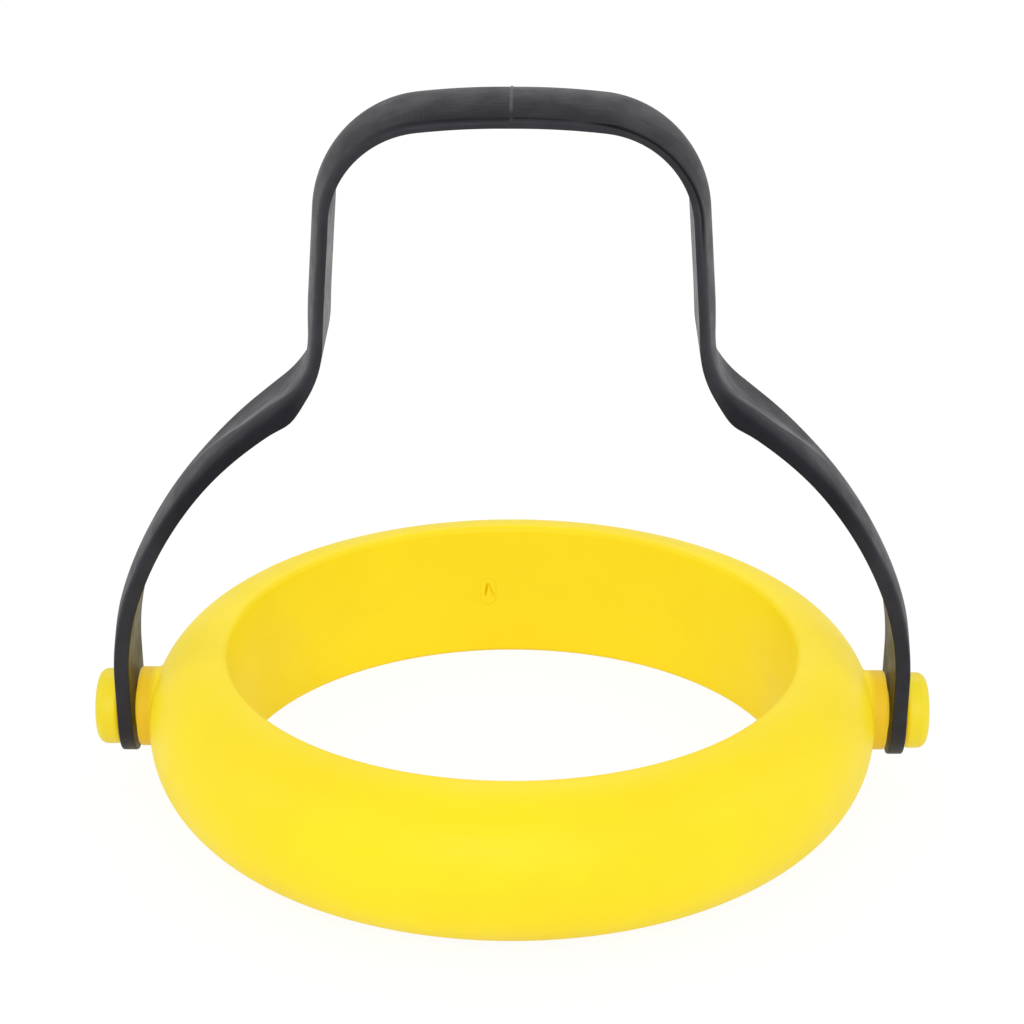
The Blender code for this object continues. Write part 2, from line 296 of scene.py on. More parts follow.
def hoop_outline():
    """Closed section of the upper half as (radius, height), a little past the seam."""
    below = -SEAM_OVERRUN
    points = [(hoop_surface(below), below)]
    power = 2.0 / SECTION_POWER
    for angle in np.linspace(0.0, math.pi / 2.0, BULGE_STEPS + 1)[:-1]:
        radius = CREST + SECTION_REACH * math.cos(angle) ** power
        points.append((radius, HOOP_HALF * math.sin(angle) ** power))
    points += arc((CREST, HOOP_HALF - LIP_RADIUS), (LIP_RADIUS, LIP_RADIUS),
                  math.pi / 2.0, math.pi, LIP_STEPS)
    for height in np.linspace(HOOP_HALF - LIP_RADIUS, below, INNER_WALL_STEPS + 1)[1:]:
        points.append((BORE_OF_HOOP, height))
    inner_wall = BORE_OF_HOOP + WALL
    points.append((inner_wall, below))
    points.append((inner_wall, HOOP_HALF - WALL))
    cavity = (HOOP_RADIUS - WALL - CREST - WALL / 2.0, HOOP_HALF - WALL)
    start = math.asin(-below / cavity[1])
    points += arc((CREST + WALL / 2.0, 0.0), cavity, math.pi / 2.0, -start, CAVITY_STEPS)
    return points


def neck_blank(direction):
    """Solid neck whose foot flares into the hoop's surface."""
    loops = []
    angles = np.arange(NECK_STEPS) * 2.0 * math.pi / NECK_STEPS
    rim = arc((NECK_END - NECK_RIM, NECK_RADIUS - NECK_RIM), (NECK_RIM, NECK_RIM),
              0.0, math.pi / 2.0, 4)
    for x, radius in [(NECK_END, NECK_HUB)] + rim:
        loops.append([(direction * x, radius * math.cos(a), radius * math.sin(a))
                      for a in angles])
    flare = [(NECK_FILLET * (1.0 - math.cos(t)), NECK_FILLET * (1.0 - math.sin(t)))
             for t in np.linspace(0.0, NECK_FLARE, 8)]
    flare += [(NECK_FOOT, -0.05 * MM), (NECK_FOOT, -0.8 * MM), (0.0, -1.2 * MM)]
    for outward, stand in flare:
        loop = []
        for a in angles:
            y = (NECK_RADIUS + outward) * math.cos(a)
            z = (NECK_RADIUS + outward) * math.sin(a)
            x = math.sqrt(hoop_surface(z) ** 2 - y ** 2) + stand
            loop.append((direction * x, y, z))
        loops.append(loop)
    start = NECK_END - NECK_REACH
    for radius in (NECK_RADIUS, NECK_HUB):
        loops.append([(direction * start, radius * math.cos(a), radius * math.sin(a))
                      for a in angles])
    return loft("neck_blank", loops, False)


def oval_loop(distance, width, steps=16):
    """Upright oval, two half circles joined by straight sides, at a distance along X."""
    radius = width / 2.0
    middle = PLUG_STRAIGHT / 2.0
    points = arc((0.0, middle), (radius, radius), 0.0, math.pi, steps)
    points += arc((0.0, -middle), (radius, radius), math.pi, 2.0 * math.pi, steps)
    return [(distance, -u, v) for u, v in points]


def face_plug_azimuth(piece):
    """Turn a piece made along X to the plug's direction from the hoop's axis."""
    piece.data.transform(Matrix.Rotation(PLUG_AZIMUTH, 4, "Z"))
    return piece


def plug_recess():
    """Stepped hole through the inner wall for the plug's head and stem."""
    floor = BORE_OF_HOOP + RECESS_DEPTH
    loops = [oval_loop(BORE_OF_HOOP - WALL, RECESS_WIDTH), oval_loop(floor, RECESS_WIDTH),
             oval_loop(floor, RECESS_HOLE_WIDTH),
             oval_loop(BORE_OF_HOOP + 2.0 * WALL, RECESS_HOLE_WIDTH)]
    return face_plug_azimuth(loft("plug_recess", loops, False))


def hoop_skin(name, side, material, node):
    """One half of the hoop with its half necks, cut flat at the seam."""
    outline = hoop_outline()
    loops = []
    for step in range(HOOP_STEPS):
        a = 2.0 * math.pi * (step + 0.5) / HOOP_STEPS
        loops.append([(r * math.cos(a), r * math.sin(a), z) for r, z in outline])
    skin = loft(name, loops, True)
    for direction in (-1.0, 1.0):
        cut(skin, neck_blank(direction), "UNION")
    for direction in (-1.0, 1.0):
        start = direction * (NECK_END - NECK_REACH - WALL)
        end = direction * (NECK_END + WALL)
        profile = [(start, 0.0), (start, BORE_RADIUS), (end, BORE_RADIUS), (end, 0.0)]
        cut(skin, turned("bore", profile, BORE_STEPS))
    cut(skin, plug_recess())
    half_space = bpy.data.meshes.new("half_space")
    bm = bmesh.new()
    place = Matrix.Translation((0, 0, -HOOP_RADIUS)) @ Matrix.Scale(2.0 * HOOP_RADIUS, 4)
    bmesh.ops.create_cube(bm, size=1.0, matrix=place @ Matrix.Diagonal((2, 2, 1, 1)))
    bm.to_mesh(half_space)
    bm.free()
    helper = bpy.data.objects.new("half_space", half_space)
    bpy.context.collection.objects.link(helper)
    cut(skin, helper)
    if side < 0:
        skin.data.transform(Matrix.Diagonal((1, 1, -1, 1)))
        skin.data.flip_normals()
    skin.data.transform(Matrix.Translation(HINGE))
    shade(skin, SHADE_ANGLE)
    settle(skin, "hoop", material, [node])


# ---- buttons and plug ----------------------------------------------------------------

def button_profile():
    """Peg outline as (x, radius): trapped flange, shank, crowned button, gate mark."""
    seat = NECK_END - NECK_REACH - FLANGE_GAP
    back = BUTTON_END - BUTTON_THICKNESS
    rim_x = BUTTON_END - BUTTON_CROWN - BUTTON_EDGE_REACH
    profile = [(seat - FLANGE_THICKNESS, 0.0), (seat - FLANGE_THICKNESS, FLANGE_RADIUS)]
    profile += [(seat, FLANGE_RADIUS), (seat, SHANK_RADIUS), (back, SHANK_RADIUS)]
    profile += arc((back + BUTTON_BACK_EDGE, BUTTON_RADIUS - BUTTON_BACK_EDGE),
                   (BUTTON_BACK_EDGE, BUTTON_BACK_EDGE), math.pi, math.pi / 2.0, 8)
    profile += arc((rim_x, BUTTON_RADIUS - BUTTON_EDGE), (BUTTON_EDGE_REACH, BUTTON_EDGE),
                   math.pi / 2.0, BUTTON_EDGE_END, 12)
    face_radius = profile[-1][1]
    face_x = profile[-1][0]
    for radius in np.linspace(face_radius, GATE_RADIUS, 10)[1:]:
        share = 1.0 - (radius / face_radius) ** 2
        profile.append((face_x + (BUTTON_END - face_x) * share, radius))
    profile.append((BUTTON_END - GATE_DEPTHS[0], 0.85 * GATE_RADIUS))
    profile.append((BUTTON_END - GATE_DEPTHS[1], 0.0))
    return profile


def button(name, direction, material, node):
    """One peg with its button, made for the right side and mirrored for the left."""
    piece = turned(name, button_profile(), BUTTON_STEPS)
    if direction < 0:
        piece.data.transform(Matrix.Diagonal((-1, 1, 1, 1)))
        piece.data.flip_normals()
    piece.data.transform(Matrix.Translation(HINGE))
    shade(piece, SHADE_ANGLE)
    settle(piece, "hoop", material, [node])


def notch(tilt, y, depth, half_length):
    """Slim pit for a fingernail or blade, leaning sideways by the tilt. Millimetres."""
    half_width = 0.40
    raised = 0.3
    mesh = bpy.data.meshes.new("notch")
    place = Matrix.Translation((BORE_OF_HOOP, y * MM, raised * MM))
    place = place @ Matrix.Rotation(math.radians(tilt), 4, "X")
    size = Matrix.Diagonal((depth * MM, half_width * MM, half_length * MM, 1.0))
    bm = bmesh.new()
    bmesh.ops.create_uvsphere(bm, u_segments=20, v_segments=14, radius=1.0,
                              matrix=place @ size)
    bm.to_mesh(mesh)
    bm.free()
    helper = bpy.data.objects.new("notch", mesh)
    bpy.context.collection.objects.link(helper)
    return helper


def plug(material):
    """Oval plug, flush with the inner wall, with a forked pry notch and a barbed stem."""
    face = BORE_OF_HOOP + 0.01 * MM
    bevel = 0.03 * MM
    head_back = face + PLUG_HEAD_THICKNESS
    barb = BORE_OF_HOOP + WALL + 0.3 * MM
    levels = [(face, PLUG_HEAD_WIDTH - 2.0 * bevel), (face + bevel, PLUG_HEAD_WIDTH),
              (face + 5.0 * bevel, PLUG_HEAD_WIDTH), (head_back, PLUG_HEAD_WIDTH),
              (head_back, PLUG_STEM_WIDTH), (barb, PLUG_STEM_WIDTH),
              (barb, PLUG_BARB_WIDTH), (barb + 0.9 * MM, PLUG_STEM_WIDTH)]
    loops = [oval_loop(x, width) for x, width in levels]
    piece = loft("oval_plug", loops, False)
    cut(piece, notch(tilt=9.0, y=0.75, depth=1.10, half_length=2.2))
    cut(piece, notch(tilt=-20.0, y=-0.75, depth=0.60, half_length=2.7))
    face_plug_azimuth(piece)
    piece.data.transform(Matrix.Translation(HINGE))
    shade(piece, SHADE_ANGLE)
    settle(piece, "hoop", material, ["vent_plug"])


# ---- bail strap ----------------------------------------------------------------------

class BailPath:
    """Centre line of the bail's right half, by run from mid-crown, in the bail's plane."""

    def __init__(self):
        corner_turn = LEG_HEADING - CROWN_TURN
        kink_turn = LEG_HEADING - SHOULDER_HEADING
        self.pieces = [(CROWN_FLAT, 0.0), (CROWN_RADIUS * CROWN_TURN, CROWN_TURN),
                       (CORNER_RADIUS * corner_turn, corner_turn), (LEG_LENGTH, 0.0),
                       (KINK_RADIUS * kink_turn, -kink_turn)]
        height = GRIP_UNDERSIDE + GRIP_THICKNESS / 2.0
        self.starts = [(0.0, 0.0, height, 0.0)]
        for length, turn in self.pieces:
            self.starts.append(self.step(self.starts[-1], length, turn, length))
        arm_turn = ARM_HEADING - SHOULDER_HEADING
        tab_turn = math.pi / 2.0 - ARM_HEADING
        arm_reach = ARM_RADIUS * (math.sin(ARM_HEADING) - math.sin(SHOULDER_HEADING))
        arm_reach += LOWER_ARM_RADIUS * (1.0 - math.sin(ARM_HEADING))
        tab_x = TAB_OUTER_X - TAB_THICKNESS / 2.0
        reach = tab_x - self.starts[-1][1] - arm_reach
        tail = [(reach / math.cos(SHOULDER_HEADING), 0.0), (ARM_RADIUS * arm_turn, arm_turn),
                (LOWER_ARM_RADIUS * tab_turn, tab_turn)]
        for length, turn in tail:
            self.pieces.append((length, turn))
            self.starts.append(self.step(self.starts[-1], length, turn, length))
        drop = self.starts[-1][2]
        self.pieces.append((drop + EYE_RADIUS, 0.0))
        self.axis_run = self.starts[-1][0] + drop
        self.end_run = self.axis_run + EYE_RADIUS

    @staticmethod
    def step(start, length, turn, part):
        """Station after a part of a line or arc of the given length and turn."""
        run, x, height, heading = start
        half = turn * part / length / 2.0
        chord = part * (math.sin(half) / half if half else 1.0)
        return (run + part, x + chord * math.cos(heading + half),
                height - chord * math.sin(heading + half), heading + 2.0 * half)

    def at(self, run):
        """(x, height, heading) at a run from mid-crown."""
        index = 0
        while index + 1 < len(self.starts) and run > self.starts[index + 1][0]:
            index += 1
        start = self.starts[index]
        length, turn = self.pieces[index]
        return self.step(start, length, turn, run - start[0])[1:]


PATH = BailPath()

# Heights over the hinge, standing up, between which the strap's section changes.
EYE_TO_ARM_WIDTH = millimetres(16.0, 50.0)
ARM_TO_GRIP_WIDTH = millimetres(70.0, 98.0)
TAB_TO_ARM_THICKNESS = millimetres(16.0, 60.0)
ARM_TO_GRIP = millimetres(88.0, 124.0)
TAB_TO_DOME = millimetres(12.0, 34.0)

# Runs from mid-crown between which the shoulder's ridge crosses from edge to middle.
CREST_RISE = millimetres(96.0, 123.0)
CREST_CROSSING = millimetres(124.0, 146.0)


def strap_width(height):
    """Width at a height over the hinge: round eye, narrow arm, wide grip."""
    if height < 0.0:
        return 2.0 * math.sqrt(max(EYE_RADIUS ** 2 - height ** 2, 0.0))
    width = 2.0 * EYE_RADIUS
    width += (ARM_WIDTH - 2.0 * EYE_RADIUS) * rise(*EYE_TO_ARM_WIDTH, height)
    return width + (GRIP_WIDTH - ARM_WIDTH) * rise(*ARM_TO_GRIP_WIDTH, height)


def strap_thickness(height):
    """Thickness at a height over the hinge: thick tab, arm, thin grip."""
    thickness = TAB_THICKNESS
    thickness += (ARM_THICKNESS - TAB_THICKNESS) * rise(*TAB_TO_ARM_THICKNESS, height)
    return thickness + (GRIP_THICKNESS - ARM_THICKNESS) * rise(*ARM_TO_GRIP, height)


def crest_place(run):
    """Where the shoulder's ridge runs across the strap: -1 front edge, 0 middle."""
    return -1.0 + 0.5 * rise(*CREST_RISE, run) + 0.5 * rise(*CREST_CROSSING, run)


def crest_highlight(run, across):
    """How strongly the shoulder's ridge is lightened, as a painted highlight."""
    off = (across - crest_place(run)) / CREST_HIGHLIGHT_WIDTH
    fade = within(millimetres(100.0, 132.0), millimetres(141.0, 148.0), run)
    return fade * math.exp(-off * off)


def shoulder_relief(run, across):
    """A ridge that climbs from the front edge, with a shallow dish behind it."""
    crest = crest_place(run)
    stand = CREST_STAND * min((crest + 1.0) / 0.4, 1.0)
    if across < crest:
        return stand * (1.0 - ((crest - across) / (crest + 1.0)) ** 2)
    share = min((across - crest) / (1.0 - crest), 1.0)
    return stand * (1.0 - share) - DISH_DEPTH * math.sin(math.pi * share)


def face_relief(run, height, across):
    """Height of the outer face above its edges: domed grip, dished shoulder, domed arm."""
    dome = 1.0 - across ** 2
    grip = GRIP_DOME * dome * rise(*ARM_TO_GRIP, height)
    arm = ARM_DOME * dome * rise(*TAB_TO_DOME, height)
    shoulder = shoulder_relief(run, across)
    to_shoulder = within(millimetres(94.0, 116.0), millimetres(136.0, 152.0), run)
    if run < 120.0 * MM:
        return grip + to_shoulder * shoulder
    return grip + arm + (shoulder - arm) * to_shoulder


def front_seam(run, side, along):
    """Depth of the mould seam that crosses the right half's front corner.

    The seam is placed by the distance up the front edge and on over the outer face.
    """
    if side < 0:
        return 0.0
    place = (3.0 - 1.25 * rise(*millimetres(0.0, 34.0), run)) * MM
    fade = within(millimetres(0.3, 1.6), millimetres(56.0, 74.0), run)
    return SEAM_DEPTH * fade * math.exp(-((along - place) / SEAM_LENGTH) ** 2)


def mould_ribs(run, side, across):
    """Fine ribs beside the left half's front edge."""
    if side > 0:
        return 0.0
    reach = rise(-0.62, -0.80, across)
    band = within(millimetres(7.0, 10.0), millimetres(27.0, 31.0), run)
    return RIB_HEIGHT * reach * band * math.sin(run * 2.0 * math.pi / RIB_PITCH)


def front_corner(run, side):
    """Depth of the rounding between the outer face and the front edge."""
    crown = SOFT_EDGE if side < 0 else STRAP_EDGE
    depth = crown + (LEG_CORNER - crown) * rise(*millimetres(40.0, 66.0), run)
    depth += (SHOULDER_CORNER - LEG_CORNER) * rise(*millimetres(92.0, 112.0), run)
    depth += (ARM_CORNER - SHOULDER_CORNER) * rise(*millimetres(138.0, 164.0), run)
    return depth + (STRAP_EDGE - ARM_CORNER) * rise(*millimetres(190.0, 215.0), run)


def parting_ridge(run):
    """Height of the thin parting line round the middle of the crown."""
    return PARTING_HEIGHT * math.exp(-(run / PARTING_LENGTH) ** 2)


def edge_point(half_width, half_thick, corner, plain, share):
    """Point on a strap edge: an outer corner (reach, depth), a flat band, an inner corner."""
    reach, depth = corner
    if share <= EDGE_OUTER_CORNER:
        turn = share / EDGE_OUTER_CORNER * math.pi / 2.0
        return (half_width - reach * (1.0 - math.sin(turn)),
                half_thick - depth * (1.0 - math.cos(turn)))
    if share >= 1.0 - EDGE_INNER_CORNER:
        turn = (1.0 - share) / EDGE_INNER_CORNER * math.pi / 2.0
        return (half_width - plain * (1.0 - math.sin(turn)),
                plain * (1.0 - math.cos(turn)) - half_thick)
    flat = (share - EDGE_OUTER_CORNER) / EDGE_FLAT
    return half_width, (half_thick - depth) * (1.0 - flat) + (plain - half_thick) * flat


def section_points(half_width, half_thick, depth, plain):
    """Section as (y, out) from the outer face round the back edge, inside and front edge."""
    reach = min(1.7 * depth, 0.6 * half_width)
    points = []
    for index in range(FACE_STEPS + 1):
        share = -math.cos(math.pi * index / FACE_STEPS)
        points.append((share * (half_width - (reach if share < 0.0 else plain)), half_thick))
    back = [edge_point(half_width, half_thick, (plain, plain), plain, step / EDGE_STEPS)
            for step in range(1, EDGE_STEPS)]
    front = [edge_point(half_width, half_thick, (reach, depth), plain, step / EDGE_STEPS)
             for step in range(EDGE_STEPS - 1, 0, -1)]
    inner = half_width - plain
    inside = [(share * inner, -half_thick) for share in np.linspace(1.0, -1.0, INSIDE_STEPS + 1)]
    return points + back + inside + [(-y, out) for y, out in front]


def strap_loop(run, side):
    """Section at a run in the bail's plane, with the marks the material uses.

    The marks are the place across, the painted highlight on the crest, the seam and the inner face.
    """
    x, height, heading = PATH.at(run)
    left = PATH.end_run - run
    half_width = max(strap_width(height) / 2.0, 0.35 * MM)
    half_thick = strap_thickness(height) / 2.0
    if left < STRAP_EDGE:
        half_thick += math.sqrt(STRAP_EDGE ** 2 - (STRAP_EDGE - left) ** 2) - STRAP_EDGE
    plain = min(STRAP_EDGE, 0.9 * half_width, 0.9 * half_thick)
    depth = min(front_corner(run, side), 0.9 * half_width, 1.7 * half_thick - plain)
    heel = HEEL_STAND * math.exp(-((run - HEEL_RUN) / HEEL_LENGTH) ** 2)
    on_leg = within(millimetres(56.0, 66.0), millimetres(108.0, 120.0), run)
    loop = []
    marks = []
    for y, out in section_points(half_width, half_thick, depth, plain):
        across = y / half_width
        share = rise(-half_thick, half_thick, out)
        on_face = out > half_thick - 1e-9
        along = half_thick + out + (y + half_width if on_face else 0.0)
        seam = front_seam(run, side, along) if across < -0.6 else 0.0
        inner = on_leg if out < 1e-9 - half_thick else 0.0
        marks.append((across, crest_highlight(run, across), seam / SEAM_DEPTH, inner))
        relief = face_relief(run, height, across) + mould_ribs(run, side, across)
        ridge = parting_ridge(run) * (share if across > -0.9 else 1.0)
        out += relief * share - heel * (1.0 - share) + (ridge if share > 0.5 else 0.0)
        out -= seam if on_face else 0.0
        y += 0.0 if on_face else seam
        loop.append((side * (x + out * math.sin(heading)), y,
                     height + out * math.cos(heading)))
    return loop, marks


def strap_runs():
    """Runs of the stations: fine at the parting ridge and ribs, even along the rest."""
    runs = [0.0, 0.08, 0.16, 0.24, 0.34, 0.46, 0.62, 0.85, 1.2]
    runs = [run * MM for run in runs]
    runs += list(np.linspace(1.6 * MM, 7.0 * MM, 10)[:-1])
    runs += list(np.linspace(7.0 * MM, 31.0 * MM, 120)[:-1])
    runs += list(np.linspace(31.0 * MM, PATH.axis_run, 250))
    for angle in np.linspace(0.0, math.pi / 2.0, 34)[1:]:
        runs.append(PATH.axis_run + EYE_RADIUS * math.sin(angle) * 0.9995)
    return runs


def strap(material):
    """The whole bail as one lofted band with bored eyes.

    It's hidden from bounced light and reflections, so it leaves no grey smudge on the hoop.
    """
    runs = strap_runs()
    stations = [(run, -1) for run in reversed(runs[1:])] + [(run, 1) for run in runs]
    sections = [strap_loop(run, side) for run, side in stations]
    loops = [loop for loop, _ in sections]
    piece = loft("bail_strap", loops, False)
    bore_end = BUTTON_END + WALL
    profile = [(-bore_end, 0.0), (-bore_end, BORE_RADIUS),
               (bore_end, BORE_RADIUS), (bore_end, 0.0)]
    cut(piece, turned("eye_bore", profile, BORE_STEPS))
    store_marks(piece, sections)
    place = Matrix.Translation(HINGE) @ Matrix.Rotation(BAIL_LEAN, 4, "X")
    piece.data.transform(place)
    shade(piece, STRAP_SHADE_ANGLE)
    piece.visible_diffuse = False
    piece.visible_glossy = False
    settle(piece, "bail", material, ["handle_strap"])


def store_marks(piece, sections):
    """Keep each vertex's place in the bail's own space and its nearest section's marks."""
    points = [point for loop, _ in sections for point in loop]
    marks = np.array([mark for _, marks in sections for mark in marks])
    tree = KDTree(len(points))
    for index, point in enumerate(points):
        tree.insert(point, index)
    tree.balance()
    vertices = piece.data.vertices
    nearest = [tree.find(vertex.co)[1] for vertex in vertices]
    for column, name in enumerate(("across", "crest", "seam", "inner")):
        layer = piece.data.attributes.new(name, "FLOAT", "POINT")
        layer.data.foreach_set("value", marks[nearest, column].astype(np.float32))
    layer = piece.data.attributes.new("bail_place", "FLOAT_VECTOR", "POINT")
    layer.data.foreach_set("vector", np.array([v.co for v in vertices], np.float32).ravel())


# ---- materials -----------------------------------------------------------------------

HOOP_TINT = (0.99, 0.775, 0.003)
# The buttons' tint is the hoop's yellow made darker and a little more lemon: painted shade on the buttons.
SHADED_PEG_TINT = (0.87, 0.710, 0.014)
NECK_SHADE_START = 97.5 * MM
PLASTIC_IOR = 1.5
FLOOR_GLOW_SEEN = 0.86
FLOOR_GLOW_UNSEEN = 0.25


class Graph:
    """A material's node graph around one Principled shader."""

    def __init__(self, name):
        self.material = bpy.data.materials.new(name)
        self.material.use_nodes = True
        self.tree = self.material.node_tree
        self.shader = self.tree.nodes["Principled BSDF"]
        self.place = self.add("ShaderNodeTexCoord").outputs["Object"]

    def add(self, kind, **settings):
        node = self.tree.nodes.new(kind)
        for key, value in settings.items():
            setattr(node, key, value)
        return node

    def link(self, source, target):
        self.tree.links.new(source, target)

    def feed(self, node, name, value):
        if isinstance(value, bpy.types.NodeSocket):
            self.link(value, node.inputs[name])
        else:
            node.inputs[name].default_value = value

    def noise(self, scale, detail=2.0, roughness=0.5, place=None):
        node = self.add("ShaderNodeTexNoise")
        self.feed(node, "Vector", place or self.place)
        self.feed(node, "Scale", scale)
        self.feed(node, "Detail", detail)
        self.feed(node, "Roughness", roughness)
        return node.outputs["Fac"]

    def spread(self, value, low, high, to_low=0.0, to_high=1.0):
        node = self.add("ShaderNodeMapRange", interpolation_type="SMOOTHSTEP")
        self.feed(node, "Value", value)
        self.feed(node, "From Min", low)
        self.feed(node, "From Max", high)
        self.feed(node, "To Min", to_low)
        self.feed(node, "To Max", to_high)
        return node.outputs["Result"]

    def mark(self, name):
        """A number stored on the mesh points."""
        return self.add("ShaderNodeAttribute", attribute_name=name).outputs["Fac"]

    def math(self, operation, first, second=0.0):
        node = self.add("ShaderNodeMath", operation=operation)
        self.feed(node, 0, first)
        self.feed(node, 1, second)
        return node.outputs["Value"]

    def mix(self, factor, first, second):
        node = self.add("ShaderNodeMix", data_type="RGBA")
        for index, value in ((0, factor), (6, first), (7, second)):
            self.feed(node, index, value)
        return node.outputs[2]

    def stretch(self, scale, place=None):
        node = self.add("ShaderNodeMapping")
        self.feed(node, "Vector", place or self.place)
        node.inputs["Scale"].default_value = scale
        return node.outputs["Vector"]

    def bump(self, height, distance, normal=None):
        node = self.add("ShaderNodeBump")
        self.feed(node, "Height", height)
        self.feed(node, "Distance", distance)
        if normal:
            self.feed(node, "Normal", normal)
        return node.outputs["Normal"]


def paint_neck_shade(graph, colour, tint):
    """Painted shade: deeper yellow on the thick necks, and a browner painted shadow beside the strap."""
    neck_shade_yellow = (tint[0] * 0.80, tint[1] * 0.64, tint[2], 1.0)
    strap_shadow_brown = (tint[0] * 0.42, tint[1] * 0.26, tint[2], 1.0)
    parts = graph.add("ShaderNodeSeparateXYZ")
    graph.link(graph.place, parts.inputs[0])
    beside = graph.math("ABSOLUTE", parts.outputs["X"])
    neck = graph.spread(beside, NECK_SHADE_START, NECK_SHADE_START + 3.0 * MM, 0.0, 0.85)
    # Painted shadow of the strap on the necks' ends.
    strap_shadow = graph.spread(beside, NECK_SHADE_START + 4.0 * MM, NECK_SHADE_START + 7.0 * MM,
                         0.0, 0.35)
    return graph.mix(strap_shadow, graph.mix(neck, colour, neck_shade_yellow), strap_shadow_brown)


def yellow_plastic(name, tint, base_roughness, with_neck_shade):
    """Satin moulded plastic: faint mottling, soft waves, fine grain and light scuffs."""
    graph = Graph(name)
    deep = (tint[0] * 0.97, tint[1] * 0.955, tint[2], 1.0)
    clean = (*tint, 1.0)
    scuffed = (1.0, 0.80, 0.16, 1.0)
    cloud = graph.spread(graph.noise(22.0, 3.0), 0.35, 0.65)
    speck = graph.spread(graph.noise(900.0, 2.0), 0.70, 0.80)
    hair = graph.noise(140.0, 4.0, 0.7, graph.stretch((1.0, 1.0, 9.0)))
    rub = graph.math("MULTIPLY", graph.spread(hair, 0.60, 0.72),
                     graph.spread(graph.noise(35.0, 2.0), 0.52, 0.68))
    colour = graph.mix(cloud, clean, deep)
    colour = graph.mix(graph.math("MULTIPLY", rub, 0.22), colour, scuffed)
    colour = graph.mix(graph.math("MULTIPLY", speck, 0.10), colour, deep)
    # Painted shade on the necks, for the hoop's material only.
    if with_neck_shade:
        colour = paint_neck_shade(graph, colour, tint)
    graph.link(colour, graph.shader.inputs["Base Color"])
    rough = graph.spread(graph.noise(60.0, 4.0, 0.6), 0.3, 0.7,
                         base_roughness - 0.05, base_roughness + 0.06)
    rough = graph.math("ADD", rough, graph.math("MULTIPLY", rub, 0.14))
    graph.link(rough, graph.shader.inputs["Roughness"])
    waves = graph.bump(graph.noise(38.0, 1.0), 0.35 * MM)
    grain = graph.bump(graph.noise(1400.0, 3.0, 0.6), 0.012 * MM, waves)
    marks = graph.bump(rub, 0.02 * MM, grain)
    graph.link(marks, graph.shader.inputs["Normal"])
    graph.shader.inputs["IOR"].default_value = PLASTIC_IOR
    graph.shader.inputs["Specular IOR Level"].default_value = 0.34
    graph.shader.inputs["Subsurface Weight"].default_value = 0.08
    graph.shader.inputs["Subsurface Radius"].default_value = (1.0, 0.6, 0.1)
    graph.shader.inputs["Subsurface Scale"].default_value = 2.0 * MM
    return graph.material


def shade_and_matt_areas(graph, across, beside):
    """Where the rubber is darker and less glossy: the grip's front half, and the legs' front edges as painted
    shade.
    """
    grip_front = graph.math("MULTIPLY", graph.spread(across, 0.9, -0.7),
                      graph.spread(beside, 44.0 * MM, 16.0 * MM))
    grip_front = graph.math("MULTIPLY", grip_front, graph.spread(across, -0.99, -0.93))
    # Painted shade along the legs' front edges, fading to a fifth at the tabs.
    front = graph.math("MULTIPLY", graph.spread(across, -0.76, -0.99),
                       graph.spread(beside, 47.0 * MM, 60.0 * MM))
    front = graph.math("MULTIPLY", front,
                       graph.spread(beside, 102.0 * MM, 80.0 * MM, 0.2, 1.0))
    return graph.math("MAXIMUM", graph.math("MULTIPLY", grip_front, 0.85), front)


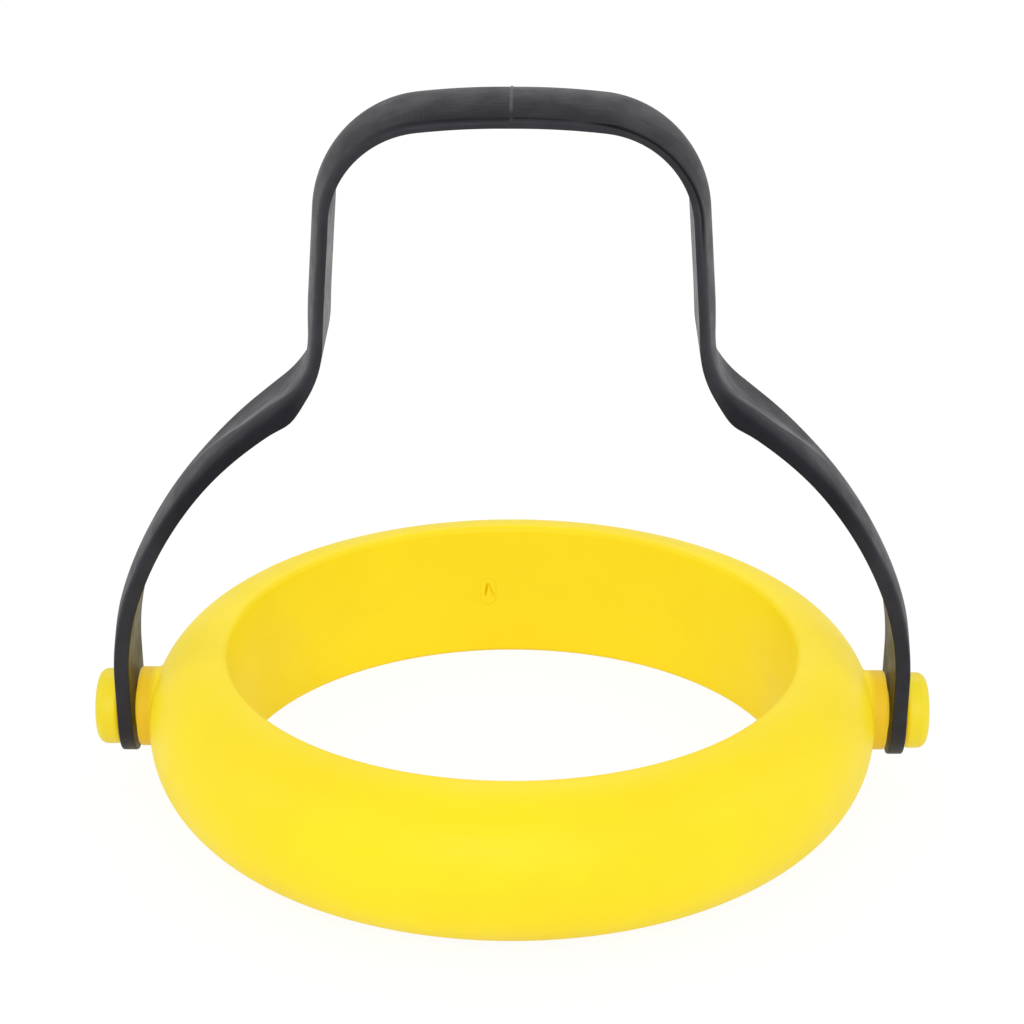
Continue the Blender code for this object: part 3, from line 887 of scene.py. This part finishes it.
def strap_rubber(name):
    """Moulded rubber: dry grey bloom, drawn marks, a darker and less glossy grip front, and painted light: a pale
    parting line and crest line as painted highlights, painted reflection on the legs' inner faces, painted shade
    on the front edges and in the seam.
    """
    dark = (0.0120, 0.0118, 0.0150, 1.0)
    bloom = (0.034, 0.034, 0.042, 1.0)
    pale = (0.090, 0.090, 0.100, 1.0)
    # Light grey painted in for the crest's highlight and the reflection on the legs' inner faces.
    painted_highlight_grey = (0.150, 0.150, 0.165, 1.0)
    # Near-black for the seam: painted shade in its groove.
    seam_shade_black = (0.004, 0.004, 0.005, 1.0)
    graph = Graph(name)
    place = graph.add("ShaderNodeAttribute", attribute_name="bail_place").outputs["Vector"]
    across = graph.mark("across")
    seam = graph.mark("seam")
    parts = graph.add("ShaderNodeSeparateXYZ")
    graph.link(place, parts.inputs[0])
    beside = graph.math("ABSOLUTE", parts.outputs["X"])
    cloud = graph.spread(graph.noise(70.0, 5.0, 0.65, place), 0.36, 0.70)
    lines = graph.noise(900.0, 3.0, 0.6, graph.stretch((0.10, 1.0, 0.10), place))
    lines = graph.spread(lines, 0.45, 0.75)
    # More of the paler bloom, mottled, along the back edge.
    back_edge_bloom = graph.math("MULTIPLY", graph.spread(across, 0.86, 0.99),
                      graph.spread(graph.noise(220.0, 3.0, 0.6, place), 0.40, 0.65))
    amount = graph.math("ADD", graph.math("MULTIPLY", cloud, 0.45),
                        graph.math("MULTIPLY", lines, 0.18))
    amount = graph.math("ADD", amount, graph.math("MULTIPLY", back_edge_bloom, 0.35))
    # Darker and less glossy on the grip's front, with painted shade on the front edges and in the seam.
    shade_and_matt = graph.math("MAXIMUM", shade_and_matt_areas(graph, across, beside), seam)
    amount = graph.math("MULTIPLY", amount, graph.spread(shade_and_matt, 0.0, 1.0, 1.0, 0.30))
    # Paler parting line across the crown: a painted highlight on the thin ridge.
    parting = graph.math("MULTIPLY", graph.spread(beside, 0.60 * MM, 0.15 * MM),
                         graph.spread(across, -0.86, -0.60))
    # Blotches in the painted reflection on the legs' inner faces.
    reflection_mottle = graph.spread(graph.noise(420.0, 3.0, 0.6, place), 0.3, 0.7, 0.25, 0.75)
    # Painted highlight on the crest, and painted reflection on the legs' inner faces.
    painted_highlight = graph.math("ADD", graph.mark("crest"),
                        graph.math("MULTIPLY", graph.mark("inner"), reflection_mottle))
    colour = graph.mix(amount, dark, bloom)
    colour = graph.mix(graph.math("MULTIPLY", parting, 0.75), colour, pale)
    colour = graph.mix(painted_highlight, colour, painted_highlight_grey)
    # Painted shade in the seam's groove.
    colour = graph.mix(seam, colour, seam_shade_black)
    graph.link(colour, graph.shader.inputs["Base Color"])
    rough = graph.spread(graph.noise(130.0, 4.0, 0.6, place), 0.3, 0.7, 0.40, 0.54)
    graph.link(rough, graph.shader.inputs["Roughness"])
    sheen = graph.spread(shade_and_matt, 0.0, 1.0, 0.34, 0.10)
    graph.link(sheen, graph.shader.inputs["Specular IOR Level"])
    grain = graph.bump(graph.noise(2200.0, 3.0, 0.65, place), 0.03 * MM)
    drawn = graph.bump(lines, 0.03 * MM, grain)
    soft = graph.bump(graph.noise(110.0, 2.0, 0.5, place), 0.12 * MM, drawn)
    graph.link(soft, graph.shader.inputs["Normal"])
    graph.shader.inputs["IOR"].default_value = PLASTIC_IOR
    graph.shader.inputs["Specular Tint"].default_value = (0.93, 0.91, 1.0, 1.0)
    return graph.material


def floor_material():
    """Pale floor that lights the hoop a little from below and looks white to the camera."""
    graph = Graph("pale_floor")
    graph.shader.inputs["Base Color"].default_value = (0.90, 0.90, 0.90, 1.0)
    graph.shader.inputs["Roughness"].default_value = 0.7
    graph.shader.inputs["Specular IOR Level"].default_value = 0.1
    glow = graph.add("ShaderNodeEmission")
    glow.inputs["Strength"].default_value = 1.04
    mixed = graph.add("ShaderNodeMixShader")
    seen = graph.add("ShaderNodeLightPath").outputs["Is Camera Ray"]
    share = graph.spread(seen, 0.0, 1.0, FLOOR_GLOW_UNSEEN, FLOOR_GLOW_SEEN)
    graph.link(share, mixed.inputs[0])
    graph.link(graph.shader.outputs["BSDF"], mixed.inputs[1])
    graph.link(glow.outputs["Emission"], mixed.inputs[2])
    graph.link(mixed.outputs["Shader"], graph.tree.nodes["Material Output"].inputs["Surface"])
    return graph.material


# ---- stage ---------------------------------------------------------------------------

VIEW_PITCH = math.radians(23.05)
VIEW_AZIMUTH = math.radians(0.7)
VIEW_DISTANCE = 0.701
VIEW_RAISE = 0.0545
LENS = 88.47
SENSOR = 36.0
FLOOR_RADIUS = 12.0
WORLD_STRENGTH = 0.76
LIGHT_AIM = Vector((0.0, 0.0, 0.05))


def add_floor():
    bm = bmesh.new()
    bmesh.ops.create_circle(bm, cap_ends=True, segments=96, radius=FLOOR_RADIUS)
    mesh = bpy.data.meshes.new("floor")
    bm.to_mesh(mesh)
    bm.free()
    floor = bpy.data.objects.new("floor", mesh)
    floor.location.z = CAD_BOX[0].z
    bpy.context.collection.objects.link(floor)
    mesh.materials.append(floor_material())


def add_softbox(name, place, size, power):
    """Rectangular area light aimed at the object; power in watts."""
    light = bpy.data.lights.new(name, "AREA")
    light.shape = "RECTANGLE"
    light.size, light.size_y = size
    light.energy = power
    lamp = bpy.data.objects.new(name, light)
    lamp.location = place
    aim = LIGHT_AIM - Vector(place)
    lamp.rotation_mode = "QUATERNION"
    lamp.rotation_quaternion = aim.to_track_quat("-Z", "Y")
    bpy.context.collection.objects.link(lamp)


def light_stage():
    world = bpy.data.worlds.new("studio")
    world.use_nodes = True
    background = world.node_tree.nodes["Background"]
    background.inputs["Color"].default_value = (1.0, 1.0, 1.0, 1.0)
    background.inputs["Strength"].default_value = WORLD_STRENGTH
    bpy.context.scene.world = world
    add_softbox("front_softbox", (0.0, -1.7, 1.0), (1.6, 1.0), 9.5)
    add_softbox("left_softbox", (-1.5, -0.2, 0.9), (0.9, 1.2), 3.0)
    add_softbox("right_softbox", (1.5, -0.2, 0.9), (0.9, 1.2), 3.0)
    add_softbox("back_softbox", (0.0, 1.4, 1.4), (1.8, 0.8), 5.0)
    bpy.context.scene.view_settings.view_transform = "Standard"


def add_camera():
    """Long lens from the front and a little above, framing the hoop and the raised strap."""
    turn = Matrix.Rotation(VIEW_AZIMUTH, 3, "Z")
    aim = turn @ Vector((0.0, math.cos(VIEW_PITCH), -math.sin(VIEW_PITCH)))
    up = turn @ Vector((0.0, math.sin(VIEW_PITCH), math.cos(VIEW_PITCH)))
    data = bpy.data.cameras.new("camera")
    data.lens = LENS
    data.sensor_width = SENSOR
    camera = bpy.data.objects.new("camera", data)
    camera.location = HINGE + VIEW_RAISE * up - VIEW_DISTANCE * aim
    camera.rotation_euler = (math.pi / 2.0 - VIEW_PITCH, 0.0, VIEW_AZIMUTH)
    bpy.context.collection.objects.link(camera)
    bpy.context.scene.camera = camera


def build():
    hoop_yellow = yellow_plastic("hoop_yellow", HOOP_TINT, 0.45, with_neck_shade=True)
    # The buttons get a darker copy of the hoop's plastic: painted shade.
    shaded_peg_yellow = yellow_plastic("shaded_peg_yellow", SHADED_PEG_TINT, 0.40, with_neck_shade=False)
    hoop_skin("hoop_upper_skin", 1.0, hoop_yellow, "ring_upper_shell")
    hoop_skin("hoop_lower_skin", -1.0, hoop_yellow, "ring_lower_shell")
    button("left_button", -1.0, shaded_peg_yellow, "left_button_peg")
    button("right_button", 1.0, shaded_peg_yellow, "right_button_peg")
    plug(hoop_yellow)
    strap(strap_rubber("charcoal_rubber"))
    add_floor()
    light_stage()
    add_camera()


build()
